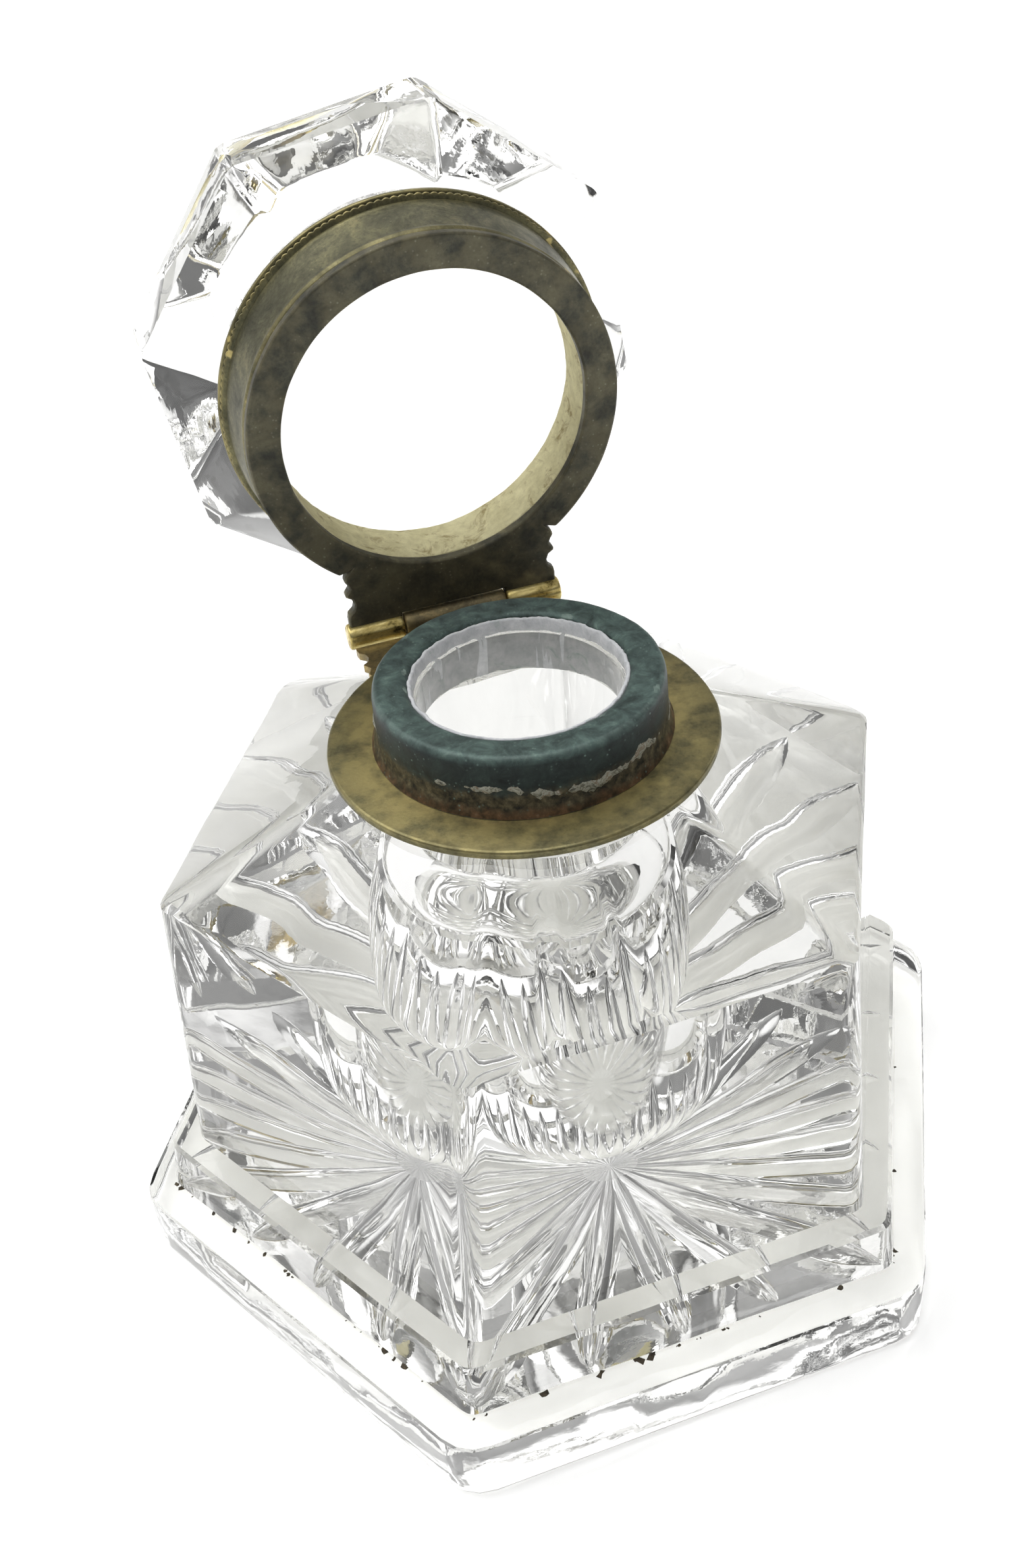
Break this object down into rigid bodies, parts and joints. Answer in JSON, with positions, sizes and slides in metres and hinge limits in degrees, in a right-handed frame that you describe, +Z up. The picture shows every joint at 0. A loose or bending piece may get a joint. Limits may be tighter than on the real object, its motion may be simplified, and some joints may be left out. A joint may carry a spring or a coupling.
{
  "type": "inkwell",
  "caption": "Hexagonal cut-glass desk inkwell on a glass plinth, with a round ink cavity, brass collar and hinged faceted glass lid.",
  "frame": {"origin": "centre of the flat underside of the glass plinth", "axes": "+Z up out of the neck, +Y towards the hinge at the back, X along the hinge axis"},
  "size_m": [0.1108, 0.1066, 0.1233],
  "materials": {
    "glass": "clear polished cut lead glass",
    "collar_brass": "aged olive-brown brass, satin",
    "verdigris_brass": "dark brass with green verdigris, satin",
    "lid_brass": "dark tarnished brass, satin",
    "hinge_brass": "worn bright brass",
    "cement": "dry whitish plaster, matte"
  },
  "bodies": {
    "base": {"glass_plinth": "glass", "glass_body": "glass", "neck_cement": "cement", "collar_flange": "collar_brass", "collar_rim": "verdigris_brass", "collar_hinge_leaf": "lid_brass", "collar_knuckle": "hinge_brass", "hinge_pin": "hinge_brass"},
    "lid": {"lid_plate": "lid_brass", "lid_bezel": "collar_brass", "lid_cement": "cement", "lid_glass": "glass", "lid_knuckle_left": "hinge_brass", "lid_knuckle_right": "hinge_brass"}
  },
  "joints": [
    {"name": "lid_hinge", "type": "hinge", "parent": "base", "child": "lid", "pos_m": [0, 0.0262, 0.0652], "axis": [1, 0, 0], "range_deg": [0, 84.5]}
  ]
}
